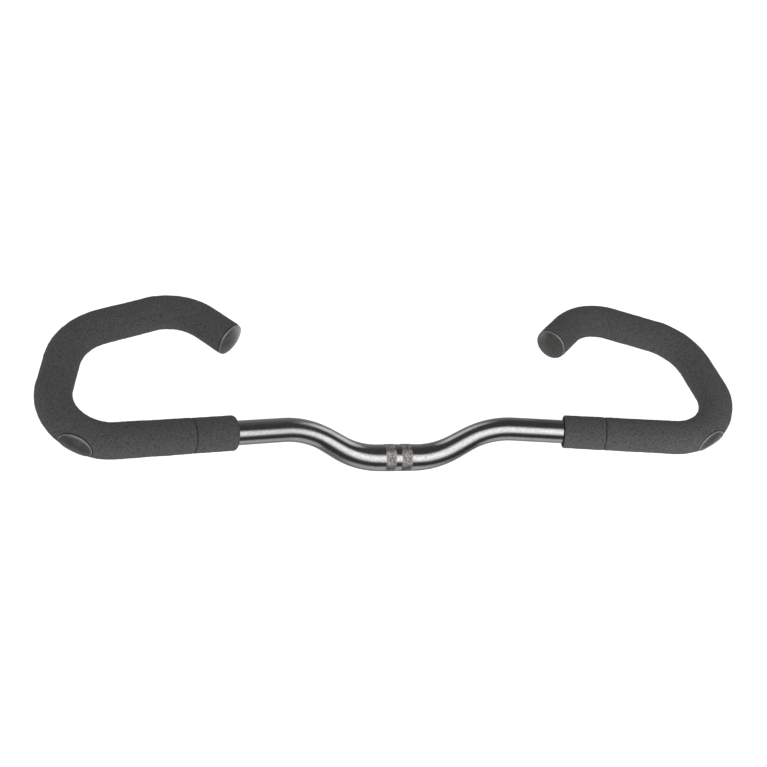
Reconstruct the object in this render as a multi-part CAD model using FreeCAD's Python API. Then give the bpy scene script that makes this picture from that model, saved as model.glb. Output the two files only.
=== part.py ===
import FreeCAD, Part
import math
import os

from FreeCAD import Placement, Rotation, Vector

# Riser handlebar with a foam-covered loop at each end.
# Millimetres and degrees. The origin is the middle of the stem clamp, +X points to the rider's right,
# +Y forward and +Z up. The right half is modelled and the left half is its mirror image.

# Tube sections
clamp_diameter = 25.4
bar_diameter = 22.2
bar_wall = 2.0
swage_end = 78.5  # along the bar from its middle, where the thick middle has come down to bar_diameter
swage_sections = 9

# Straight lengths of the right half, between one bend and the next
clamp_straight = 34.5  # both halves together
rise_straight = 14.5
grip_straight = 151.7
limb_straight = 31.1
top_straight = 44.8
end_straight = 28.1

# Headings of those lengths
rise_slope = 31.0
rise_sweep = 2.8
upsweep = 1.5
backsweep = 15.5
loop_tilt = 34.0  # the loop lies in one plane, which holds the X direction and climbs forward by this much
limb_toe_in = 9.0
top_slope = 21.1
end_slope = -43.4

# Bend radii, on the tube's axis
rise_bend = 71.8
shoulder_bend = 81.3
corner_bend = 43.1
front_bend = 52.6
inner_bend = 47.2

# Foam sleeves
foam_diameter = 31.2
foam_fit = 0.1  # gap all round between the tube and the foam's bore
collar_start = 162.7  # along the bar from its middle
collar_length = 38.8
collar_round = 2.2
seam_round = 1.5

# Plugs, with ribbed stems
plug_fit = 0.1  # gap all round between a plug and what it sits in
stem_ribs = 3
rib_depth = 0.9
rib_share = 0.75  # part of each rib's pitch that the rib takes up

# End plug, a round head on the bare end of the loop
plug_diameter = 30.6
plug_rim = 1.9
plug_dome = 3.2
plug_edge = 0.8
end_stem = 16.0

# Corner plug, an oval head let into the foam on the outside of the corner bend
corner_turn = 36.5  # degrees into the bend from its grip side
head_length = 30.2  # along the bar
head_width = 21.0
head_depth = 2.2  # below the foam's skin
head_proud = 0.6  # above the foam's skin
head_edge = 0.8
head_gap = 0.4  # between the head and the foam beside it
corner_hole = 13.0  # in the tube's wall
corner_stem = 8.5

overcut = 10.0  # how far a cut reaches past the face that it opens

bar_bore = bar_diameter - 2 * bar_wall
seam = collar_start + collar_length


def heading(slope, sweep):
    """Unit vector outboard along +X, climbing by slope and swept back by sweep."""
    slope, sweep = math.radians(slope), math.radians(sweep)
    return Vector(math.cos(slope) * math.cos(sweep), -math.cos(slope) * math.sin(sweep), math.sin(slope))


def loop_heading(angle):
    """Unit vector in the loop's plane, at this angle from inboard towards the front."""
    angle, tilt = math.radians(angle), math.radians(loop_tilt)
    forward = Vector(0, math.cos(tilt), math.sin(tilt))
    return Vector(-math.cos(angle), 0, 0) + forward * math.sin(angle)


# Each run is a straight length, its heading and the radius of the bend that follows it.
runs = [
    ("clamp", clamp_straight / 2, heading(0, 0), rise_bend),
    ("rise", rise_straight, heading(rise_slope, rise_sweep), shoulder_bend),
    ("grip", grip_straight, heading(upsweep, backsweep), corner_bend),
    ("limb", limb_straight, loop_heading(90 - limb_toe_in), front_bend),
    ("top", top_straight, loop_heading(top_slope), inner_bend),
    ("end", end_straight, loop_heading(end_slope), None),
]


def bend(start, before, after, radius):
    """Arc of this radius that leaves start along one heading and ends along the other."""
    turn = before.getAngle(after)
    inward = (after - before * before.dot(after)).normalize()

    def at(angle):
        return start + before * (radius * math.sin(angle)) + inward * (radius * (1 - math.cos(angle)))

    return Part.Arc(at(0), at(turn / 2), at(turn)).toShape()


def bar_path():
    """Axis of the right half from the clamp's middle: each straight edge, then the tangent arc after it."""
    edges = {}
    point = Vector(0, 0, 0)
    for (name, length, along, radius), following in zip(runs, runs[1:] + [None]):
        corner = point + along * length
        edges[name] = Part.LineSegment(point, corner).toShape()
        if following is not None:
            arc = bend(corner, along, following[2], radius)
            edges[name + "_bend"] = arc
            point = arc.valueAt(arc.LastParameter)
    return edges


path = bar_path()
bar_end = sum(edge.Length for edge in path.values())


def span(start, stop):
    """Edges of the axis between two lengths along it."""
    edges = []
    done = 0.0
    for edge in path.values():
        first = max(start - done, 0.0)
        last = min(stop - done, edge.Length)
        if first < last:
            first, last = edge.getParameterByLength(first), edge.getParameterByLength(last)
            edges.append(edge.Curve.toShape(first, last))
        done += edge.Length
    return edges


def section(edge, parameter, diameter):
    """Circle square to an edge of the axis."""
    return Part.Wire(Part.makeCircle(diameter / 2, edge.valueAt(parameter), edge.tangentAt(parameter)))


def pipe(edges, diameter):
    """Round solid along edges of the axis."""
    profile = section(edges[0], edges[0].FirstParameter, diameter)
    return Part.Wire(edges).makePipe(Part.Face(profile))


def sweep(start, stop, diameter):
    """Round solid along the axis between two lengths."""
    return pipe(span(start, stop), diameter)


def swage():
    """The stretch that tapers evenly from the clamp's diameter to the bar's, as a loft of circles."""
    start = clamp_straight / 2
    circles = []
    for step in range(swage_sections):
        share = step / (swage_sections - 1)
        edge = span(0, start + share * (swage_end - start))[-1]
        diameter = clamp_diameter + share * (bar_diameter - clamp_diameter)
        circles.append(section(edge, edge.LastParameter, diameter))
    return Part.makeLoft(circles, True)


def on_corner(shape, height):
    """Puts a shape on the outside of the corner bend, this high: x along the bar and z straight out."""
    arc = path["grip_bend"]
    turn = arc.FirstParameter + math.radians(corner_turn)
    point, along = arc.valueAt(turn), arc.tangentAt(turn)
    outward = (point - arc.Curve.Center).normalize()
    shape.Placement = Placement(point + outward * height, Rotation(along, outward.cross(along), outward))
    return shape


def corner_round(diameter):
    """Round solid on the corner plug's axis, from the tube's axis out past the foam."""
    return on_corner(Part.makeCylinder(diameter / 2, foam_diameter / 2 + overcut), 0)


def corner_oval(gap, depth):
    """Oval solid, wider than the corner plug's head by a gap all round, from this deep in the foam out."""
    oval = Part.Ellipse(Vector(0, 0, 0), head_length / 2 + gap, head_width / 2 + gap)
    solid = Part.Face(Part.Wire(oval.toShape())).extrude(Vector(0, 0, foam_diameter / 2 + overcut))
    return on_corner(solid, 0).cut(pipe([path["grip_bend"]], foam_diameter - 2 * depth))


def mirrored(shape):
    """The left half's copy of a shape of the right half."""
    return shape.mirror(Vector(0, 0, 0), Vector(1, 0, 0))


def both_sides(shape):
    """A right-half shape that meets the middle plane, joined to its mirror image."""
    return shape.fuse(mirrored(shape)).removeSplitter()


def handlebar_tube():
    """Bent tube: clamp, swaged rise, grip and loop, bored through, with a hole for a plug in each corner."""
    half = sweep(0, clamp_straight / 2, clamp_diameter)
    half = half.fuse([swage(), sweep(swage_end, bar_end, bar_diameter)])
    hole = corner_round(corner_hole)
    tube = both_sides(half).cut(both_sides(sweep(0, bar_end, bar_bore)))
    return tube.cut([hole, mirrored(hole)])


def rounded(shape, edge, parameter, radius):
    """A foam solid with its outer rim rounded where it ends, square to an edge of the axis."""
    centre = edge.valueAt(parameter)
    rims = [rim for rim in shape.Edges
            if isinstance(rim.Curve, Part.Circle)
            and rim.Curve.Center.isEqual(centre, foam_fit)
            and rim.Curve.Radius > bar_diameter / 2 + 2 * foam_fit]
    return shape.makeFillet(radius, rims)


def sleeve(start, stop, start_round, stop_round):
    """Foam over the bar between two lengths along it, rounded at both ends."""
    edges = span(start, stop)
    foam = sweep(start, stop, foam_diameter).cut(sweep(start, stop, bar_diameter + 2 * foam_fit))
    foam = rounded(foam, edges[0], edges[0].FirstParameter, start_round)
    return rounded(foam, edges[-1], edges[-1].LastParameter, stop_round)


def foam_grip():
    """Long sleeve from the collar to the end, with a seat and a hole for the corner plug's head and stem."""
    foam = sleeve(seam, bar_end, seam_round, seam_round)
    return foam.cut([corner_oval(head_gap, head_depth + plug_fit), corner_round(corner_hole + 2 * foam_fit)])


def foam_collar():
    """Short ring between the bare tube and the long sleeve."""
    return sleeve(collar_start, seam, collar_round, seam_round)


def stem_outline(bore, stem):
    """Half outline of a ribbed stem that fits a bore, from its foot at -stem up to 0."""
    rib = bore / 2 - plug_fit
    core = rib - rib_depth
    pitch = stem / stem_ribs
    outline = [Vector(0, 0, -stem)]
    for number in range(stem_ribs):
        low = number * pitch - stem
        high = low + rib_share * pitch
        outline += [Vector(core, 0, low), Vector(rib, 0, high), Vector(core, 0, high)]
    return outline + [Vector(core, 0, 0)]


def lines(points):
    """Straight edges from each point to the next."""
    return [Part.LineSegment(a, b).toShape() for a, b in zip(points, points[1:])]


def turned(edges):
    """Solid turned about Z from the edges of a half outline."""
    return Part.Face(Part.Wire(edges)).revolve(Vector(0, 0, 0), Vector(0, 0, 1), 360)


def end_plug():
    """Turned plug in the inboard end of the loop: ribbed stem, flat-backed head, rounded rim and low dome."""
    head = plug_diameter / 2
    outline = stem_outline(bar_bore, end_stem) + [Vector(head, 0, 0), Vector(head, 0, plug_rim - plug_edge)]
    shoulder = Vector(head - plug_edge, 0, plug_rim)
    crown = Vector(0, 0, plug_rim + plug_dome)
    quarter = plug_edge * math.sqrt(0.5)
    rim_middle = Vector(shoulder.x + quarter, 0, outline[-1].z + quarter)
    dome = (shoulder.x ** 2 + plug_dome ** 2) / (2 * plug_dome)
    halfway = shoulder.x / 2
    dome_middle = Vector(halfway, 0, crown.z - dome + math.sqrt(dome ** 2 - halfway ** 2))
    solid = turned(lines(outline) + [Part.Arc(outline[-1], rim_middle, shoulder).toShape(),
                                     Part.Arc(shoulder, dome_middle, crown).toShape()]
                   + lines([crown, outline[0]]))
    edge = path["end"]
    way = Rotation(Vector(0, 0, 1), edge.tangentAt(edge.LastParameter))
    solid.Placement = Placement(edge.valueAt(edge.LastParameter), way)
    return solid


def corner_plug():
    """Plug in the corner: an oval head that follows the foam's skin, with a rounded rim, on a ribbed stem."""
    skin = foam_diameter / 2 + head_proud
    head = corner_oval(0, head_depth).common(pipe([path["grip_bend"]], 2 * skin))
    rim = [edge for edge in head.Edges if edge.distToShape(path["grip_bend"])[0] > skin - head_edge]
    head = head.makeFillet(head_edge, rim)
    outline = stem_outline(corner_hole, corner_stem)
    top = Vector(0, 0, head_depth)
    stem = turned(lines(outline + [outline[-1] + top, top, outline[0]]))
    return head.fuse(on_corner(stem, foam_diameter / 2 - head_depth)).removeSplitter()


os.makedirs("parts", exist_ok=True)
handlebar_tube().exportStep("parts/handlebar_tube.step")
for name, make in [("foam_grip", foam_grip), ("foam_collar", foam_collar),
                   ("end_plug", end_plug), ("corner_plug", corner_plug)]:
    right = make()
    right.exportStep(f"parts/right_{name}.step")
    mirrored(right).exportStep(f"parts/left_{name}.step")
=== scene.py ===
import math

import bpy
import numpy as np
from mathutils import Matrix, Vector


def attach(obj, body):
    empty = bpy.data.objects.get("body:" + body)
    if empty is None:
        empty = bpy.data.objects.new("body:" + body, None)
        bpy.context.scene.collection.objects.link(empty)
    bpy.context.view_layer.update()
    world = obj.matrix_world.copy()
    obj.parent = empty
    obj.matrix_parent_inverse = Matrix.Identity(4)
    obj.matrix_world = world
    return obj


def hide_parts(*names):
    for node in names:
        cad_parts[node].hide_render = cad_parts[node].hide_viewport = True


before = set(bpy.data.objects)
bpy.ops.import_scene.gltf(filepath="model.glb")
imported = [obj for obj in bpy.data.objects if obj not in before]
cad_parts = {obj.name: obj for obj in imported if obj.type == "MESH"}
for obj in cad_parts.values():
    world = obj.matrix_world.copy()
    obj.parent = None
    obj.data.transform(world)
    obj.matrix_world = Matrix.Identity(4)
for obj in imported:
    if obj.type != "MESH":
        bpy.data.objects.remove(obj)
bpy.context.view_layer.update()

# Riser handlebar with a foam-covered loop at each end: looks.
# Lengths on the bar are millimetres and angles degrees. MM turns these lengths into metres where a mesh or a
# material is made. The camera, the floor and the lamps are placed in metres.
# Pieces are worked out on the right half, along the bar from the middle of its clamp, and mirrored to the
# left.
MM = 0.001
length_digits = 6  # lengths of rings that agree to so many digits are one ring
on_middle_within = 1e-9

# Tube sections
clamp_radius = 12.7
bar_radius = 11.1
bore_radius = 9.1
clamp_straight = 34.5
swage_end = 78.5
tube_facets = 84
bend_step = 3.0

# Bends: straight lengths, headings and radii, as the tube is bent
rise_straight, grip_straight, limb_straight, top_straight, end_straight = 14.5, 151.7, 31.1, 44.8, 28.1
rise_slope, rise_sweep = 31.0, 2.8
upsweep, backsweep = 1.5, 15.5
loop_tilt, limb_toe_in, top_slope, end_slope = 34.0, 9.0, 21.1, -43.4
rise_bend, shoulder_bend, corner_bend, front_bend, inner_bend = 71.8, 81.3, 43.1, 52.6, 47.2

# Knurl: two rolled bands of low diamonds on the clamp, one each side of its middle
knurl_start, knurl_rows = 2.4, 11
knurl_crest, knurl_root = 0.13, -0.10

# Faces that meet at more than this angle keep a sharp edge, on the knurled tube and on the other pieces
tube_crease, other_crease = 15, 38

# Foam
foam_radius = 15.6
foam_bore = 11.2
collar_start, collar_length = 162.7, 38.8
collar_round, seam_round = 2.2, 1.5
foam_facets = 112
foam_step = 1.2
round_rings = 7
foam_rim, rim_rings = 0.4, 5
fine_bump, fine_size = 0.06, 0.9
slow_bump, slow_size = 0.06, 4.0
bump_fade = 3.0
left_seed, right_seed, collar_seed_step = 11, 23, 50
sunk_from, sunk_to = 0.5, 1.3  # below the skin, where the painted shade of seams and seats begins and where it is full

# Plugs, with ribbed stems
plug_fit = 0.1
stem_ribs, rib_depth, rib_share = 3, 0.9, 0.75
plug_facets = 96
plug_radius = 15.3
plug_rim, plug_edge, plug_dome = 1.9, 1.4, 3.2
edge_rings, dome_rings = 9, 25
end_stem = 16.0
highlight_side = (0.29, -0.76, 0.58)  # the side of the right plug's rim where its painted highlight is strongest
highlight_side_least, highlight_side_falloff = 0.2, 3

# Corner plug: an oval head let into the foam on the outside of the corner bend, with a low lip round its face
corner_turn = 36.5
head_length, head_width = 15.1, 10.5
head_depth, head_proud, head_edge, head_gap = 2.2, 0.6, 0.8, 0.4
lip_width, lip_slope, lip_depth = 0.9, 0.4, 0.25
back_rings, head_edge_rings, middle_rings = 4, 7, 9
corner_hole, corner_stem = 6.5, 8.5
window_length, window_angle, window_rings = 15.0, 62.0, 3

# Foam finish: sizes of pores and patches, colours and roughness from the pores to their walls, and relief
foam_ior = 1.35
pore_size, foam_patch_size = 1.35, 22
pore_colour, wall_colour = (0.048, 0.048, 0.049), (0.092, 0.091, 0.090)
foam_worn, foam_unworn = (0.93, 0.93, 0.93), (1, 1, 1)
# colour of the painted shade in the foam's seams and seats
sunk_colour = (0.012, 0.012, 0.012)
pore_roughness, wall_roughness = 0.92, 0.78
pore_strength, pore_depth = 0.7, 0.3

# Plug finish: mould grain and patches, dull and bright face, painted shade on the back and where the rim
# meets the foam, and a painted highlight on the edge
plug_ior = 1.8
mould_grain_size, plug_patch_size = 0.5, 9
face_dull, face_bright = (0.043, 0.042, 0.041), (0.064, 0.062, 0.060)
# painted shade where the rim meets the foam, and the pale colour of the painted highlight on the edge
recess_colour, highlight_colour = (0.018, 0.018, 0.018), (0.28, 0.276, 0.272)
highlight_least, highlight_most = 0.6, 1.0
face_roughness, edge_smoothing = (0.22, 0.32), 0.1
grain_strength, grain_depth = 0.12, 0.1

# Tube finish: drawn lines and spots, each with its size round and along the tube, and the speckled knurl
line_width, line_length, line_detail, line_gain = 0.35, 22, 3.0, 0.6
spot_width, spot_length, spot_detail = 1.2, 3, 2.0
tube_patch_size, speckle_size = 14, 1.9
line_dark, line_bright = (0.50, 0.484, 0.483), (0.80, 0.775, 0.777)
spot_dark, spot_bright = (0.62, 0.62, 0.62), (1.38, 1.38, 1.38)
speckle_dark, speckle_bright = (0.28, 0.266, 0.261), (1.0, 0.95, 0.935)
tube_roughness, knurl_roughening = (0.12, 0.17), 0.25
line_strength, line_depth = 0.25, 0.02

# Shared patterns: how fine their noise is, and where their raw values begin and end
pore_detail, patch_detail = 3.0, 2.0
pore_range, patch_range = (-0.35, 0.45), (0.3, 0.7)

# Camera
camera_place = (-0.2502, -0.9354, 0.3270)
camera_elevation, camera_yaw, camera_roll = 15.27, 13.49, 0.37
camera_lens, camera_sensor = 51.16, 36.0

# Floor
floor_height, floor_half = -0.45, 40.0
floor_level, floor_roughness, floor_glow = 0.9, 0.9, 0.45

# Lamps: name, place, aim, width, depth and power
lamps = [("low_lamp", (0.10, -0.25, -0.30), (0.05, -0.02, 0.05), 0.8, 0.35, 0.9),
         ("right_lamp", (0.30, -0.32, 0.02), (0.22, -0.05, 0.03), 0.2, 0.2, 0.28)]

# Even light on matt surfaces, from below and from above, and the white that the camera sees
even_below, even_above, seen_white = 1.00, 0.75, 1.2

# What the metal mirrors. Behind the camera and in front of it: levels by degrees above the horizon, and how
# far ahead, from -1 to 1, they fade out or in. Round panels: azimuth, elevation, reach and level.
mirrored_behind = [(-90, 0.0), (-32, 0.0), (-21, 0.25), (-11, 1.00), (8, 1.33), (22, 1.20), (33, 0.76),
                   (43, 0.26), (54, 0.0), (90, 0.0)]
behind_fades = (-0.86, -0.58)
mirrored_in_front = [(-90, 0.10), (-60, 0.22), (-38, 0.28), (-24, 0.55), (-14, 1.25), (-2, 1.45), (5, 0.90),
                     (10, 0.36), (16, 0.25), (35, 0.16), (52, 0.11), (68, 0.04), (90, 0.0)]
front_fades = (-0.2, 0.35)
panels = [(76, 36, 26, 0.66), (-47, 57, 24, 0.54), (120, -78, 28, 0.44)]
mirrored_rest = 0.045


def heading(slope, sweep):
    """Unit vector outboard along +X, climbing by slope and swept back by sweep."""
    slope, sweep = np.radians([slope, sweep])
    return np.array([np.cos(slope) * np.cos(sweep), -np.cos(slope) * np.sin(sweep), np.sin(slope)])


def loop_heading(angle):
    """Unit vector in the loop's tilted plane, at this angle from inboard towards the front."""
    angle, tilt = np.radians([angle, loop_tilt])
    return np.array([-np.cos(angle), np.sin(angle) * np.cos(tilt), np.sin(angle) * np.sin(tilt)])


# Each run of the right half: straight length, heading and the radius of the bend that follows it
runs = [
    (clamp_straight / 2, heading(0, 0), rise_bend),
    (rise_straight, heading(rise_slope, rise_sweep), shoulder_bend),
    (grip_straight, heading(upsweep, backsweep), corner_bend),
    (limb_straight, loop_heading(90 - limb_toe_in), front_bend),
    (top_straight, loop_heading(top_slope), inner_bend),
    (end_straight, loop_heading(end_slope), None),
]
corner_span = 5  # the bend between the grip and the limb, counted along the spans below


def turned(vector, hinge, angle):
    """A vector turned about a unit hinge: the part square to the hinge swings round, the other stays."""
    across = np.cross(hinge, vector)
    along = hinge * np.sum(hinge * vector, axis=-1, keepdims=True)
    return vector * np.cos(angle) + across * np.sin(angle) + along * (1 - np.cos(angle))


def axis_spans():
    """The right half of the bar's axis as straight and bent spans in turn, column by column.

    Each span has the length where it starts, its first point, heading, inward direction, curvature and the
    direction that marks the top of its section. The top turns with each bend, so the section never twists.
    """
    spans = []
    length, point, top = 0.0, np.zeros(3), np.array([0.0, 0.0, 1.0])
    for number, (straight, along, radius) in enumerate(runs):
        spans.append((length, point, along, np.zeros(3), 0.0, top))
        length = length + straight
        point = point + along * straight
        if radius is not None:
            after = runs[number + 1][1]
            turn = math.acos(along @ after)
            inward = (after - along * (along @ after)) / math.sin(turn)
            spans.append((length, point, along, inward, 1 / radius, top))
            length = length + radius * turn
            point = point + radius * (along * math.sin(turn) + inward * (1 - math.cos(turn)))
            top = turned(top, np.cross(along, inward), turn)
    return [np.array(column) for column in zip(*spans)], length


(span_start, span_point, span_heading, span_inward, span_curve, span_top), bar_end = axis_spans()


def right_axis(along):
    """Point, heading, top and side of the section at lengths along the right half.

    On a span of curvature k, the heading turns towards the inward direction by k times the length, so the
    point moves by the sine of that over k along the heading and one less the cosine over k inward.
    """
    span = np.clip(np.searchsorted(span_start, along, side="right") - 1, 0, len(span_start) - 1)
    first, ahead, inward, top = span_point[span], span_heading[span], span_inward[span], span_top[span]
    curve = span_curve[span][..., None]
    run = (along - span_start[span])[..., None]
    angle = curve * run
    bent = curve > 0
    per_curve = np.where(bent, curve, 1.0)
    reach = np.where(bent, np.sin(angle) / per_curve, run)
    inset = np.where(bent, (1 - np.cos(angle)) / per_curve, 0.0)
    point = first + ahead * reach + inward * inset
    way = ahead * np.cos(angle) + inward * np.sin(angle)
    top = turned(top, np.cross(ahead, inward), angle)
    return point, way, top, np.cross(way, top)


# The corner plug's place: its axis points straight out of the bend
corner_length = span_start[corner_span] + corner_bend * math.radians(corner_turn)
corner_point, corner_along, corner_top, corner_side = right_axis(np.array(corner_length))
corner_out = (math.sin(math.radians(corner_turn)) * span_heading[corner_span]
              - math.cos(math.radians(corner_turn)) * span_inward[corner_span])
corner_across = np.cross(corner_out, corner_along)
corner_angle = math.atan2(corner_out @ corner_side, corner_out @ corner_top)


def columns(facets):
    """Directions round a section, evenly spaced, with the corner plug's in the middle of the row."""
    return corner_angle + (np.arange(facets) - facets // 2) * (2 * math.pi / facets)


def skin(along, around, radius):
    """Surface round the bar: the axis point plus the radius times a ray square to the axis."""
    point, _, top, side = right_axis(along[:, None])
    ray = top * np.cos(around)[None, :, None] + side * np.sin(around)[None, :, None]
    return point + ray * radius[..., None]


def corner_skin(x, y, radius):
    """Surface of a bent round bar above places x along it and y across it from the corner plug's axis.

    y leaves the root of radius squared less y squared above the axis. That and the bend's radius are the long
    side of a triangle whose foot is x, and the other side less the bend's radius is the height.
    """
    long_side = corner_bend + np.sqrt(radius ** 2 - y ** 2)
    height = np.sqrt(long_side ** 2 - x ** 2) - corner_bend
    flat = corner_point + x[..., None] * corner_along + y[..., None] * corner_across
    return flat + height[..., None] * corner_out


def corner_rings(angle, ovals):
    """Rings on that surface, each an oval with its own half length, half width and radius of the surface."""
    half_length, half_width, radius = np.array(ovals).T[..., None]
    return corner_skin(half_length * np.cos(angle), half_width * np.sin(angle), radius)


def strip(number):
    """Four-sided faces between the rows of a grid of point numbers whose columns close on themselves."""
    beside = np.roll(number, -1, axis=1)
    return np.stack([number[:-1], beside[:-1], beside[1:], number[1:]], axis=-1)


def window_border(along, facets):
    """Rows and columns of the grid points that run once round the corner plug's place, in order."""
    inside = np.nonzero(np.abs(along - corner_length) <= window_length)[0]
    first, last = inside[0], inside[-1]
    reach = round(window_angle * facets / 360)
    left, right = facets // 2 - reach, facets // 2 + reach
    across, down = np.arange(left, right), np.arange(first, last)
    row = np.concatenate([np.full_like(across, first), down, np.full_like(across, last), down[::-1] + 1])
    column = np.concatenate([across, np.full_like(down, right), across[::-1] + 1, np.full_like(down, left)])
    return row, column


def sleeve(along, outer, bore, closed, ovals):
    """A sleeve along the bar: rings of its outer skin one way, then rings of its bore back.

    outer and bore hold a radius for each ring and direction. closed joins the last ring to the first. ovals,
    where given, are the rings of an opening on the corner from the skin down to the bore: a window is left
    out of both skins, and rings that go over evenly from the window's border to the first oval, and from the
    last oval to the border in the bore, fill it. It gives the points, their places on the straight bar and
    radii, the rows of faces, which of those are kept, and the faces in the window.
    """
    rows, facets = outer.shape
    around = columns(facets)
    lengths = np.concatenate([along, along[::-1]])
    radius = np.concatenate([outer, bore[::-1]])
    points = skin(lengths, around, radius)
    unbent = np.stack([radius * np.cos(around), radius * np.sin(around),
                       np.broadcast_to(lengths[:, None], radius.shape)], axis=-1)
    number = np.arange(points.size // 3).reshape(2 * rows, facets)
    faces = strip(np.concatenate([number, number[:1]]) if closed else number)
    kept = np.ones(faces.shape[:2], bool)
    points, unbent = points.reshape(-1, 3), unbent.reshape(-1, 3)
    if ovals is None:
        return points, unbent, radius.ravel(), faces, kept, np.empty((0, 4), int)

    row, column = window_border(along, facets)
    back_row = 2 * rows - 1 - row
    kept[row.min():row.max(), column.min():column.max()] = False
    kept[back_row.min():back_row.max(), column.min():column.max()] = False
    borders = [number[row, column], number[back_row, column]]
    x, y = [(points[borders] - corner_point) @ axis for axis in (corner_along, corner_across)]
    angle = np.arctan2(y[0] / y[0].max(), x[0] / x[0].max())
    share = np.linspace(1, 0, window_rings + 2)[1:-1, None]
    blends, radii = [], []
    for end, (half_length, half_width, depth), edge in zip((0, 1), (ovals[0], ovals[-1]), (outer, bore)):
        radii.append(depth + share * (edge[row, column] - depth))
        blends.append(corner_skin(share * x[end] + (1 - share) * half_length * np.cos(angle),
                                  share * y[end] + (1 - share) * half_width * np.sin(angle), radii[-1]))
    rings = np.concatenate([blends[0], corner_rings(angle, ovals), blends[1][::-1]])
    oval_radius = np.repeat(np.array(ovals)[:, 2], len(angle))
    radius = np.concatenate([radius.ravel(), radii[0].ravel(), oval_radius, radii[1][::-1].ravel()])
    ring_number = len(points) + np.arange(rings.size // 3).reshape(rings.shape[:2])
    filled = strip(np.concatenate([borders[:1], ring_number, borders[1:]]))
    rings = rings.reshape(-1, 3)
    place = rings - corner_point
    turn = corner_angle + np.arctan2(place @ corner_across, place @ corner_out)
    ring_unbent = np.stack([bar_radius * np.cos(turn), bar_radius * np.sin(turn),
                            corner_length + place @ corner_along], axis=-1)
    return (np.concatenate([points, rings]), np.concatenate([unbent, ring_unbent]), radius, faces, kept,
            filled.reshape(-1, 4))


def new_piece(name, points, faces, side=1, crease=other_crease, **marks):
    """A mesh object from points in millimetres and arrays of faces, less the points that no face uses.

    A side of -1 mirrors the points to the left half and turns the faces round, so that they still face out.
    Faces that meet at more than the crease angle keep a sharp edge. marks are values at the points that a
    material reads by name.
    """
    corners = np.concatenate([part[:, ::side].ravel() for part in faces])
    used, renamed = np.unique(corners, return_inverse=True)
    sizes = np.concatenate([np.full(len(part), part.shape[1]) for part in faces])
    mesh = bpy.data.meshes.new(name)
    mesh.vertices.add(len(used))
    mesh.vertices.foreach_set("co", (points[used] * [side * MM, MM, MM]).ravel())
    mesh.loops.add(len(renamed))
    mesh.loops.foreach_set("vertex_index", renamed)
    mesh.polygons.add(len(sizes))
    mesh.polygons.foreach_set("loop_start", np.concatenate([[0], np.cumsum(sizes)[:-1]]))
    mesh.update(calc_edges=True)
    mesh.polygons.foreach_set("use_smooth", np.ones(len(sizes), bool))
    for label, values in marks.items():
        kind, field = ("FLOAT_VECTOR", "vector") if values.ndim == 2 else ("FLOAT", "value")
        layer = mesh.attributes.new(label, kind, "POINT")
        layer.data.foreach_set(field, values[used].ravel())
    mesh.set_sharp_from_angle(angle=math.radians(crease))
    piece = bpy.data.objects.new(name, mesh)
    bpy.context.scene.collection.objects.link(piece)
    return piece


def quarter_turn(rings):
    """Angles of this many rings round a quarter circle, from its start to its end."""
    return np.linspace(0, math.pi / 2, rings)


def tube_lengths(knurl_pitch):
    """Lengths along the right half where the tube needs a ring: the ends of each span, even steps round the
    bends, the end of the swage and the rows of the knurl."""
    ends = np.append(span_start, bar_end)
    steps = [np.linspace(a, b, max(2, math.ceil((b - a) * curve / math.radians(bend_step)) + 1))
             for a, b, curve in zip(ends, ends[1:], span_curve)]
    knurl = knurl_start + knurl_pitch * np.arange(knurl_rows + 1)
    return np.unique(np.round(np.concatenate(steps + [knurl, [swage_end]]), length_digits))


def bar_tube():
    """The bent tube. Its radius is the clamp's, falls evenly along the swage and is the bar's from there on.

    On the knurl every second point of an even grid is a crest and the others are roots, and each face there
    is cut between its two roots, which makes rows of diamonds. The left half is the mirror image of the right
    half and shares its middle ring.
    """
    pitch = 2 * math.pi * clamp_radius / tube_facets
    along = tube_lengths(pitch)
    share = np.clip((along - clamp_straight / 2) / (swage_end - clamp_straight / 2), 0, 1)
    outer = np.repeat((clamp_radius + share * (bar_radius - clamp_radius))[:, None], tube_facets, axis=1)
    row = np.rint((along - knurl_start) / pitch).astype(int)
    crest = (row[:, None] + np.arange(tube_facets)) % 2 == 1
    in_band = (row > 0) & (row < knurl_rows)
    outer += np.where(in_band[:, None], np.where(crest, knurl_crest, knurl_root), 0.0)
    bore = np.full_like(outer, bore_radius)
    hole = [(corner_hole, corner_hole, bar_radius), (corner_hole, corner_hole, bore_radius)]
    points, unbent, _, faces, kept, filled = sleeve(along, outer, bore, False, hole)

    split = np.zeros_like(kept)
    split[:len(along)] = ((row >= 0) & (row < knurl_rows))[:, None]
    peak_first = np.zeros_like(kept)
    peak_first[:len(along)] = crest
    first, second = faces[split & peak_first], faces[split & ~peak_first]
    parts = [faces[kept & ~split], filled, first[:, [0, 1, 3]], first[:, [1, 2, 3]],
             second[:, [0, 1, 2]], second[:, [0, 2, 3]]]

    count = len(points)
    knurled = np.zeros(count)
    knurled[:outer.size] = np.repeat(in_band, tube_facets)
    on_middle = np.abs(points[:, 0]) < on_middle_within
    across = np.where(on_middle, np.arange(count), np.arange(count) + count)
    parts += [across[part[:, ::-1]] for part in parts]
    return new_piece("bar_tube", np.concatenate([points, points * [-1, 1, 1]]), parts, crease=tube_crease,
                     unbent=np.concatenate([unbent, unbent * [1, 1, -1]]) * MM,
                     knurled=np.concatenate([knurled, knurled]))


def blurred_noise(shape, steps, size, seed):
    """Even random bumps: seeded white noise on the grid, blurred by a bell curve of the given size and set to
    unit spread. It closes on itself round the section."""
    noise = np.random.default_rng(seed).normal(size=shape)
    waves = [np.fft.fftfreq(count, step) for count, step in zip(shape, steps)]
    squared = waves[0][:, None] ** 2 + waves[1][None, :] ** 2
    smooth = np.fft.ifft2(np.fft.fft2(noise) * np.exp(-2 * (math.pi * size) ** 2 * squared)).real
    return (smooth - smooth.mean()) / smooth.std()


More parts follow.
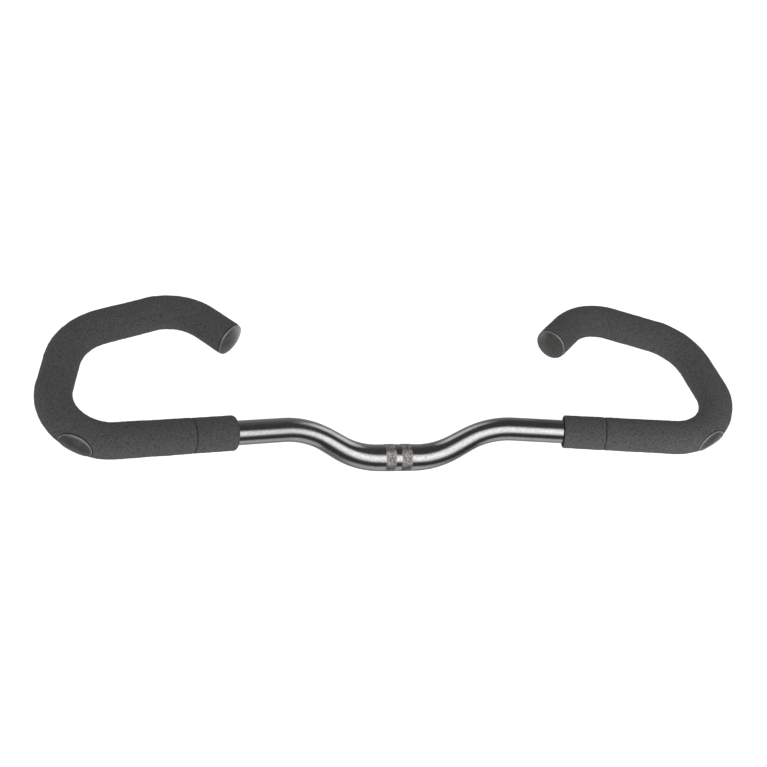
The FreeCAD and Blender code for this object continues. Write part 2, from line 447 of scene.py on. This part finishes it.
def rounded_end(distance, radius):
    """How far a skin draws in at a distance from its end: the gap between a quarter circle and its corner."""
    short = np.clip((radius - distance) / radius, 0, 1)
    return radius * (1 - np.sqrt(1 - short ** 2))


def foam_lengths(start, stop, start_round, stop_round):
    """Lengths for a foam sleeve's rings: even steps, and closer ones where its ends are rounded."""
    quarter = 1 - np.cos(quarter_turn(round_rings))
    first, last = start + start_round, stop - stop_round
    body = np.linspace(first, last, round((last - first) / foam_step) + 1)
    return np.unique(np.round(np.concatenate([
        start + start_round * quarter, body, stop - stop_round * quarter]), length_digits))


def plug_seat():
    """Ovals of the corner plug's seat in the foam: a softened rim, the wall, the seat and the hole below."""
    length, width = head_length + head_gap, head_width + head_gap
    seat = foam_radius - head_depth - plug_fit
    hole = corner_hole + plug_fit
    turn = quarter_turn(rim_rings)
    widening, drop = foam_rim * (1 - np.sin(turn)), foam_rim * (1 - np.cos(turn))
    rim = np.stack([length + widening, width + widening, foam_radius - drop], axis=-1)
    floor = [(length, width, seat), ((length + hole) / 2, (width + hole) / 2, seat), (hole, hole, seat),
             (hole, hole, foam_bore)]
    return [*rim, *floor]


def foam(name, side, start, stop, start_round, ovals, seed):
    """A foam sleeve: an even round skin with soft bumps that fade out at its ends, which are rounded.

    A mark goes from 0 to 1 as a point goes below the skin, and the material paints shade with it into the
    seams and seats.
    """
    along = foam_lengths(start, stop, start_round, seam_round)
    shape = (len(along), foam_facets)
    steps = (foam_step, 2 * math.pi * foam_radius / foam_facets)
    bumps = (fine_bump * blurred_noise(shape, steps, fine_size, seed)
             + slow_bump * blurred_noise(shape, steps, slow_size, seed + 1))
    fade = np.clip(np.minimum(along - start, stop - along) / bump_fade, 0, 1)
    drawn_in = rounded_end(along - start, start_round) + rounded_end(stop - along, seam_round)
    outer = foam_radius + bumps * fade[:, None] - drawn_in[:, None]
    points, _, radius, faces, kept, filled = sleeve(along, outer, np.full(shape, foam_bore), True, ovals)
    sunk = np.clip((foam_radius - radius - sunk_from) / (sunk_to - sunk_from), 0, 1)
    return new_piece(name, points, [faces[kept], filled], side, sunk=sunk)


def stem_outline(bore, stem):
    """Radius and height of a ribbed stem's half outline, from the middle of its foot up: sawtooth ribs on a
    core."""
    rib = bore - plug_fit
    core = rib - rib_depth
    pitch = stem / stem_ribs
    low = np.arange(stem_ribs) * pitch - stem
    high = low + rib_share * pitch
    same = np.ones(stem_ribs)
    teeth = np.stack([core * same, low, rib * same, high, core * same, high], axis=-1).reshape(-1, 2)
    return np.concatenate([[[0, -stem]], teeth, [[core, 0]]])


def plug_marks(inner, turn, outer):
    """Marks for a plug's rings: how much painted highlight and how much painted shade they get.

    inner rings come before the rounded edge, whose turn is given, and outer rings after it. The painted
    highlight is greatest half way round the edge, and the painted shade grows towards the edge's foot, where
    the rim meets the foam, and covers all of the inner rings.
    """
    painted_highlight = np.concatenate([np.zeros(inner), np.sin(2 * turn) ** 2, np.zeros(outer)])
    # painted shade where the rim meets the foam, and on the hidden inner rings
    shade_share = np.concatenate([np.ones(inner), np.cos(turn) ** 4, np.zeros(outer)])
    return painted_highlight[:, None], shade_share[:, None]


def closed_rings(name, rings, side, **marks):
    """A solid from a stack of rings, the first and the last of which are single points.

    marks are values for each ring or for each point of each ring.
    """
    number = np.arange(rings.size // 3).reshape(rings.shape[:2])
    number[0], number[-1] = number[0, 0], number[-1, 0]
    faces = strip(number)
    parts = [faces[0][:, [0, 2, 3]], faces[1:-1].reshape(-1, 4), faces[-1][:, [0, 1, 2]]]
    marks = {label: np.broadcast_to(values, rings.shape[:2]).ravel() for label, values in marks.items()}
    return new_piece(name, rings.reshape(-1, 3), parts, side, **marks)


def loop_plug(name, side):
    """Turned plug: ribbed stem, flat back, straight rim with a rounded edge and a dome that is an arc.

    The rim gets a painted highlight that is strongest on one side: the share falls with a power of one plus
    the cosine of the angle from there, over two.
    """
    turn = quarter_turn(edge_rings)
    shoulder = plug_radius - plug_edge
    edge = np.stack([shoulder + plug_edge * np.cos(turn),
                     plug_rim - plug_edge + plug_edge * np.sin(turn)], -1)
    sphere = (shoulder ** 2 + plug_dome ** 2) / (2 * plug_dome)
    out = shoulder * np.linspace(1, 0, dome_rings)[1:]
    dome = np.stack([out, plug_rim + plug_dome - sphere + np.sqrt(sphere ** 2 - out ** 2)], -1)
    stem = np.concatenate([stem_outline(bore_radius, end_stem), [[plug_radius, 0]]])
    outline = np.concatenate([stem, edge, dome])
    point, way, top, across = right_axis(np.array(bar_end))
    around = columns(plug_facets)
    ring = top * np.cos(around)[:, None] + across * np.sin(around)[:, None]
    rings = point + outline[:, None, :1] * ring + outline[:, None, 1:] * way
    painted_highlight, shade_share = plug_marks(len(stem), turn, len(dome))
    # painted highlight on the rim, strongest on one side
    toward_highlight_side = ((1 + ring @ np.array(highlight_side)) / 2) ** highlight_side_falloff
    highlight_side_share = highlight_side_least + (1 - highlight_side_least) * toward_highlight_side
    return closed_rings(name, rings, side, edge=painted_highlight * highlight_side_share, recess=shade_share)


def socket_plug(name, side):
    """Corner plug: a ribbed stem and an oval head whose back and face follow the foam's skin.

    From the rounded edge inwards the face is a lip, a short slope down from it and an even middle.
    """
    around = np.linspace(0, 2 * math.pi, plug_facets, endpoint=False)
    seat, face = foam_radius - head_depth, foam_radius + head_proud
    stem = stem_outline(corner_hole, corner_stem)
    ring = np.cos(around)[:, None] * corner_along + np.sin(around)[:, None] * corner_across
    stem_rings = corner_point + stem[:-1, None, :1] * ring + (seat + stem[:-1, None, 1:]) * corner_out

    core = stem[-1, 0]
    share = np.linspace(0, 1, back_rings)
    back = np.stack([core + (head_length - core) * share, core + (head_width - core) * share,
                     np.full(back_rings, seat)], axis=-1)
    turn = quarter_turn(head_edge_rings)
    inset, drop = head_edge * (1 - np.cos(turn)), head_edge * (1 - np.sin(turn))
    edge = np.stack([head_length - inset, head_width - inset, face - drop], axis=-1)
    lip = head_edge + lip_width
    slope = lip + lip_slope
    share = np.linspace(1, 0, middle_rings)
    middle = np.stack([(head_length - slope) * share, (head_width - slope) * share,
                       np.full(middle_rings, face - lip_depth)], axis=-1)
    ovals = np.concatenate([back, edge, [(head_length - lip, head_width - lip, face)], middle])
    painted_highlight, shade_share = plug_marks(len(stem_rings) + len(back), turn, 1 + len(middle))
    rings = np.concatenate([stem_rings, corner_rings(around, ovals)])
    return closed_rings(name, rings, side, edge=painted_highlight, recess=shade_share)


def add_node(tree, kind, inputs=None, **settings):
    """A node with its settings, and its inputs set to values or linked to other nodes' outputs."""
    made = tree.nodes.new(kind)
    for key, value in settings.items():
        setattr(made, key, value)
    for key, value in (inputs or {}).items():
        if isinstance(value, bpy.types.NodeSocket):
            tree.links.new(value, made.inputs[key])
        else:
            made.inputs[key].default_value = value
    return made


def new_group(name, inputs, outputs):
    """An empty shader node group with named sockets, and its input and output nodes."""
    group = bpy.data.node_groups.new(name, "ShaderNodeTree")
    for label, kind in inputs:
        group.interface.new_socket(label, in_out="INPUT", socket_type=kind)
    for label, kind in outputs:
        group.interface.new_socket(label, in_out="OUTPUT", socket_type=kind)
    return group, group.nodes.new("NodeGroupInput"), group.nodes.new("NodeGroupOutput")


def spread(tree, value, limits):
    """Output of a node that spreads the values between two limits from 0 to 1."""
    return add_node(tree, "ShaderNodeMapRange", {
        "Value": value, "From Min": limits[0], "From Max": limits[1]}).outputs["Result"]


def pore_group():
    """Fine closed pores: noise less the distance to the nearest of many scattered cells of the same size."""
    group, given, put = new_group(
        "closed_pores", [("Vector", "NodeSocketVector"), ("Cells per Metre", "NodeSocketFloat")],
        [("Height", "NodeSocketFloat"), ("Shade", "NodeSocketFloat")])
    cells = add_node(group, "ShaderNodeTexVoronoi", {
        "Vector": given.outputs["Vector"], "Scale": given.outputs["Cells per Metre"]})
    noise = add_node(group, "ShaderNodeTexNoise", {
        "Vector": given.outputs["Vector"], "Scale": given.outputs["Cells per Metre"], "Detail": pore_detail})
    height = combined(group, "SUBTRACT", noise.outputs["Fac"], cells.outputs["Distance"])
    group.links.new(height, put.inputs["Height"])
    group.links.new(spread(group, height, pore_range), put.inputs["Shade"])
    return group


def patch_group():
    """Slow uneven patches, as handling and moulding leave: soft noise of the given size, from 0 to 1."""
    group, given, put = new_group(
        "uneven_patches", [("Vector", "NodeSocketVector"), ("Patches per Metre", "NodeSocketFloat")],
        [("Amount", "NodeSocketFloat")])
    noise = add_node(group, "ShaderNodeTexNoise", {
        "Vector": given.outputs["Vector"], "Scale": given.outputs["Patches per Metre"],
        "Detail": patch_detail})
    group.links.new(spread(group, noise.outputs["Fac"], patch_range), put.inputs["Amount"])
    return group


def per_metre(size):
    """How many of something this many millimetres across fit in a metre."""
    return 1 / (size * MM)


def new_material(name, **shader):
    """A material, its node tree and its Principled shader, with plain values on the shader's own sockets."""
    material = bpy.data.materials.new(name)
    material.use_nodes = True
    tree = material.node_tree
    principled = tree.nodes["Principled BSDF"]
    for key, value in shader.items():
        principled.inputs[key.replace("_", " ").title().replace("Ior", "IOR")].default_value = value
    return material, tree, principled


def placed_group(tree, group, vector, label, size):
    """A node group in a material, reading these coordinates, its pattern this many millimetres across."""
    return add_node(tree, "ShaderNodeGroup", {"Vector": vector, label: per_metre(size)}, node_tree=group)


def stretched_noise(tree, vector, width, length, **inputs):
    """Noise drawn out along a tube: so many millimetres wide round it and so many long."""
    drawn = add_node(tree, "ShaderNodeMapping", {
        "Vector": vector, "Scale": (per_metre(width), per_metre(width), per_metre(length))})
    return add_node(tree, "ShaderNodeTexNoise", {
        "Vector": drawn.outputs["Vector"], "Scale": 1.0, **inputs}).outputs["Fac"]


def mark(tree, label):
    """A piece's own mark by its name, from 0 to 1."""
    return add_node(tree, "ShaderNodeAttribute", attribute_name=label).outputs["Fac"]


def mixed_colour(tree, amount, first, second, blend="MIX"):
    """Output of a node that mixes two colours, plain or from other nodes, by an amount."""
    mix = add_node(tree, "ShaderNodeMix", {"Factor": amount}, data_type="RGBA", blend_type=blend)
    sockets = [socket for socket in mix.inputs if socket.type == "RGBA"]
    for socket, colour in zip(sockets, (first, second)):
        if isinstance(colour, bpy.types.NodeSocket):
            tree.links.new(colour, socket)
        else:
            socket.default_value = (*colour, 1)
    return next(socket for socket in mix.outputs if socket.type == "RGBA")


def combined(tree, operation, first, second):
    """Output of a node that adds, subtracts or multiplies two values."""
    return add_node(tree, "ShaderNodeMath", {0: first, 1: second}, operation=operation).outputs[0]


def ranged(tree, value, low, high):
    """Output of a node that spreads a 0 to 1 value between two numbers."""
    return add_node(tree, "ShaderNodeMapRange", {
        "Value": value, "To Min": low, "To Max": high}).outputs["Result"]


def bumped(tree, height, strength, depth):
    """Normal of a bump of the given depth in millimetres."""
    return add_node(tree, "ShaderNodeBump", {
        "Height": height, "Strength": strength, "Distance": depth * MM}).outputs["Normal"]


def dress(tree, shader, colour, roughness, normal):
    """Links a finish's colour, roughness and normal to its shader."""
    for label, socket in [("Base Color", colour), ("Roughness", roughness), ("Normal", normal)]:
        tree.links.new(socket, shader.inputs[label])


def foam_material(pores, patches):
    """Dark grey closed-cell foam: matt, finely pored, lighter on the walls between the pores, with painted
    shade in its seams and seats.
    """
    material, tree, shader = new_material("foam_grip_grey", ior=foam_ior)
    place = tree.nodes.new("ShaderNodeTexCoord").outputs["Object"]
    fine = placed_group(tree, pores, place, "Cells per Metre", pore_size).outputs
    slow = placed_group(tree, patches, place, "Patches per Metre", foam_patch_size).outputs["Amount"]
    speckle = mixed_colour(tree, fine["Shade"], pore_colour, wall_colour)
    worn = mixed_colour(tree, slow, foam_worn, foam_unworn)
    skin_colour = mixed_colour(tree, 1.0, speckle, worn, "MULTIPLY")
    # painted shade: seams and seats darken as they sink below the skin
    dress(tree, shader, mixed_colour(tree, mark(tree, "sunk"), skin_colour, sunk_colour),
          ranged(tree, fine["Shade"], pore_roughness, wall_roughness),
          bumped(tree, fine["Height"], pore_strength, pore_depth))
    return material


def plug_material(pores, patches):
    """Black moulded plastic: a fine mould grain, an uneven soft gloss, a painted pale highlight on the edges
    and painted shade where the rims meet the foam.
    """
    material, tree, shader = new_material("moulded_plug_black", ior=plug_ior)
    place = tree.nodes.new("ShaderNodeTexCoord").outputs["Object"]
    fine = placed_group(tree, pores, place, "Cells per Metre", mould_grain_size).outputs
    slow = placed_group(tree, patches, place, "Patches per Metre", plug_patch_size).outputs["Amount"]
    # the edge mark paints a pale highlight, and the recess mark paints shade where the rim meets the foam
    edge = mark(tree, "edge")
    painted_highlight = combined(tree, "MULTIPLY", edge, ranged(tree, fine["Shade"], highlight_least, highlight_most))
    face = mixed_colour(tree, slow, face_dull, face_bright)
    shaded = mixed_colour(tree, mark(tree, "recess"), face, recess_colour)
    gloss = combined(tree, "SUBTRACT", ranged(tree, slow, *face_roughness),
                     ranged(tree, edge, 0, edge_smoothing))
    dress(tree, shader, mixed_colour(tree, painted_highlight, shaded, highlight_colour), gloss,
          bumped(tree, fine["Height"], grain_strength, grain_depth))
    return material


def tube_material(pores, patches):
    """Satin metal with fine lines drawn along the tube, read in the tube's own unbent space, and a knurl that
    is speckled dark and bright."""
    material, tree, shader = new_material("satin_drawn_metal", metallic=1.0)
    unbent = add_node(tree, "ShaderNodeAttribute", attribute_name="unbent").outputs["Vector"]
    lines = stretched_noise(tree, unbent, line_width, line_length, Detail=line_detail, Roughness=line_gain)
    spots = stretched_noise(tree, unbent, spot_width, spot_length, Detail=spot_detail)
    slow = placed_group(tree, patches, unbent, "Patches per Metre", tube_patch_size).outputs["Amount"]
    rolled = placed_group(tree, pores, unbent, "Cells per Metre", speckle_size).outputs["Shade"]
    knurled = mark(tree, "knurled")
    drawn = mixed_colour(tree, 1.0, mixed_colour(tree, lines, line_dark, line_bright),
                         mixed_colour(tree, spots, spot_dark, spot_bright), "MULTIPLY")
    speckle = mixed_colour(tree, rolled, speckle_dark, speckle_bright)
    dull = combined(tree, "ADD", ranged(tree, slow, *tube_roughness),
                    ranged(tree, knurled, 0, knurl_roughening))
    dress(tree, shader, mixed_colour(tree, knurled, drawn, speckle), dull,
          bumped(tree, lines, line_strength, line_depth))
    return material


def finish_piece(piece, material, node):
    """Gives a piece its material, attaches it to the root body and hides the CAD part that it stands for."""
    piece.data.materials.append(material)
    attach(piece, "root")
    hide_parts(node)


def make_bar():
    """Every piece of the bar, both sides."""
    pores, patches = pore_group(), patch_group()
    grey_foam, black = foam_material(pores, patches), plug_material(pores, patches)
    finish_piece(bar_tube(), tube_material(pores, patches), "handlebar_tube")
    seam = collar_start + collar_length
    for label, side, seed in [("left", -1, left_seed), ("right", 1, right_seed)]:
        grip = foam(f"{label}_foam_sleeve", side, seam, bar_end, seam_round, plug_seat(), seed)
        collar = foam(f"{label}_foam_ring", side, collar_start, seam, collar_round, None,
                      seed + collar_seed_step)
        for piece, node in [(grip, "foam_grip"), (collar, "foam_collar")]:
            finish_piece(piece, grey_foam, f"{label}_{node}")
        finish_piece(loop_plug(f"{label}_loop_plug", side), black, f"{label}_end_plug")
        finish_piece(socket_plug(f"{label}_socket_plug", side), black, f"{label}_corner_plug")


def make_floor():
    """A plain pale floor, evenly lit, below the bar that its clamp holds."""
    material, _, _ = new_material(
        "pale_floor", base_color=(floor_level, floor_level, floor_level, 1), roughness=floor_roughness,
        emission_color=(1, 1, 1, 1), emission_strength=floor_glow)
    corners = np.array([[-1, -1], [1, -1], [1, 1], [-1, 1]]) * floor_half / MM
    points = np.column_stack([corners, np.full(4, floor_height / MM)])
    floor = new_piece("floor", points, [np.array([[0, 1, 2, 3]])])
    floor.data.materials.append(material)
    floor.visible_glossy = False


def level_ramp(tree, height, stops):
    """Level by height: stops of degrees above the horizon and level, with even slopes between them."""
    ramp = add_node(tree, "ShaderNodeValToRGB", {"Fac": spread(tree, height, (-1.0, 1.0))})
    elements = ramp.color_ramp.elements
    places = [(1 + math.sin(math.radians(angle))) / 2 for angle, _ in stops]
    made = [elements[0], *(elements.new(place) for place in places[1:-1]), elements[-1]]
    for element, place, (_, level) in zip(made, places, stops):
        element.position = place
        element.color = (level, level, level, 1)
    return ramp.outputs["Color"]


def faded(tree, value, limits, start, stop):
    """Output of a node that goes softly from start to stop while the value goes from limit to limit."""
    return add_node(tree, "ShaderNodeMapRange", {
        "Value": value, "From Min": limits[0], "From Max": limits[1], "To Min": start, "To Max": stop},
        interpolation_type="SMOOTHSTEP").outputs["Result"]


def soft_panel(tree, direction, azimuth, elevation, reach, level):
    """Level of a round panel of light that fades out at its reach. Its azimuth goes from the front to the
    right."""
    azimuth, elevation, reach = np.radians([azimuth, elevation, reach])
    flat = math.cos(elevation)
    towards = (math.sin(azimuth) * flat, math.cos(azimuth) * flat, math.sin(elevation))
    facing = add_node(tree, "ShaderNodeVectorMath", {0: direction, 1: towards}, operation="DOT_PRODUCT")
    return faded(tree, facing.outputs["Value"], (math.cos(reach), 1.0), 0.0, level)


def mirrored_studio(tree, direction, ahead, height):
    """What the metal mirrors: a broad panel behind the camera, a front that is pale at the horizon, round
    panels and little else."""
    behind = combined(tree, "MULTIPLY", level_ramp(tree, height, mirrored_behind),
                      faded(tree, ahead, behind_fades, 1.0, 0.0))
    in_front = combined(tree, "MULTIPLY", level_ramp(tree, height, mirrored_in_front),
                        faded(tree, ahead, front_fades, 0.0, 1.0))
    total = combined(tree, "ADD", combined(tree, "ADD", behind, in_front), mirrored_rest)
    for panel in panels:
        total = combined(tree, "ADD", total, soft_panel(tree, direction, *panel))
    return total


def make_world():
    """Soft studio light: even on matt surfaces and a little stronger from below, and a studio for the metal
    to mirror. The camera itself sees plain white."""
    world = bpy.data.worlds.new("studio")
    bpy.context.scene.world = world
    world.use_nodes = True
    tree = world.node_tree
    direction = tree.nodes.new("ShaderNodeTexCoord").outputs["Generated"]
    parts = add_node(tree, "ShaderNodeSeparateXYZ", {"Vector": direction}).outputs
    ahead, height = parts["Y"], parts["Z"]
    path = tree.nodes.new("ShaderNodeLightPath").outputs
    lit = add_node(tree, "ShaderNodeMix", {
        "Factor": path["Is Glossy Ray"],
        "A": ranged(tree, spread(tree, height, (-1.0, 1.0)), even_below, even_above),
        "B": mirrored_studio(tree, direction, ahead, height)}).outputs["Result"]
    seen = add_node(tree, "ShaderNodeMix", {
        "Factor": path["Is Camera Ray"], "A": lit, "B": seen_white}).outputs["Result"]
    tree.links.new(seen, tree.nodes["Background"].inputs["Color"])


def make_lamps():
    """Area lamps that face their aims and light only matt surfaces."""
    for name, place, aim, width, depth, power in lamps:
        lamp = bpy.data.lights.new(name, "AREA")
        lamp.shape, lamp.size, lamp.size_y, lamp.energy = "RECTANGLE", width, depth, power
        stand = bpy.data.objects.new(name, lamp)
        bpy.context.scene.collection.objects.link(stand)
        facing = (Vector(place) - Vector(aim)).to_track_quat("Z", "Y").to_matrix().to_4x4()
        stand.matrix_world = Matrix.Translation(place) @ facing
        stand.visible_glossy = False
        stand.visible_camera = False


def make_camera():
    """Camera at the photograph's place: tilted down, swung to the right and rolled a little."""
    data = bpy.data.cameras.new("camera")
    data.lens, data.sensor_width = camera_lens, camera_sensor
    camera = bpy.data.objects.new("camera", data)
    bpy.context.scene.collection.objects.link(camera)
    tilt = Matrix.Rotation(math.radians(-camera_elevation), 4, "X")
    swing = Matrix.Rotation(math.radians(-camera_yaw), 4, "Z")
    level = Matrix.Rotation(math.radians(90), 4, "X")
    roll = Matrix.Rotation(math.radians(camera_roll), 4, "Z")
    camera.matrix_world = Matrix.Translation(camera_place) @ tilt @ swing @ level @ roll
    bpy.context.scene.camera = camera
    bpy.context.scene.view_settings.view_transform = "Standard"


make_bar()
make_floor()
make_world()
make_lamps()
make_camera()
